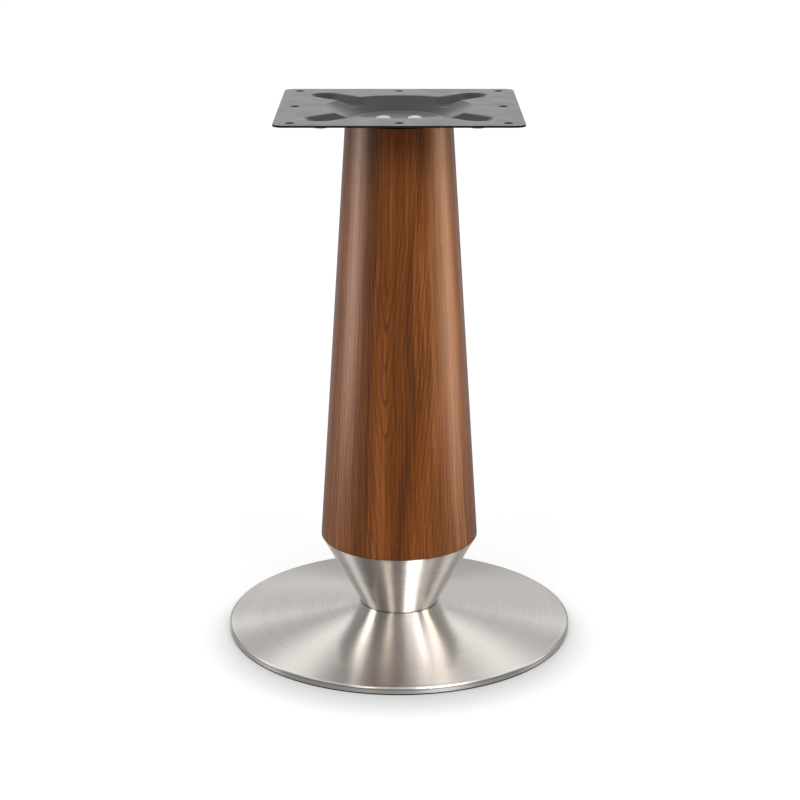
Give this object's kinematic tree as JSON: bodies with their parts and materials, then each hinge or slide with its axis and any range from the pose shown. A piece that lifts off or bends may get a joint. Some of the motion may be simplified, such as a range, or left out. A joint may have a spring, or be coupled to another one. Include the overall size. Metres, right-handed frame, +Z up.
{
  "type": "pedestal table base",
  "caption": "Pedestal table base: a tapered walnut column on a steel collar and a round, shallow-coned steel foot, with a pressed square plate on top that screws under a table top.",
  "frame": {"origin": "on the floor at the middle of the base", "axes": "+Z up along the column, X and Y along the sides of the square top plate"},
  "size_m": [0.47, 0.47, 0.72],
  "materials": {
    "walnut": "satin lacquered walnut veneer, grain upright",
    "brushed_stainless": "circular brushed stainless steel",
    "black_coat": "satin black powder coat",
    "bright_zinc": "bright zinc plating",
    "plain_steel": "plain mild steel",
    "cast_iron": "sand cast, dark primer",
    "rubber": "matt black rubber"
  },
  "bodies": {
    "root": {"floor_ring": "rubber", "base_weight": "cast_iron", "base_cover": "brushed_stainless", "collar": "brushed_stainless", "support_disc": "plain_steel", "column": "walnut", "core_tube": "plain_steel", "tube_plug": "plain_steel", "top_flange": "plain_steel", "top_plate": "black_coat", "top_screws": "bright_zinc", "flat_washer": "bright_zinc", "spring_washer": "bright_zinc", "centre_bolt": "bright_zinc"}
  },
  "joints": []
}
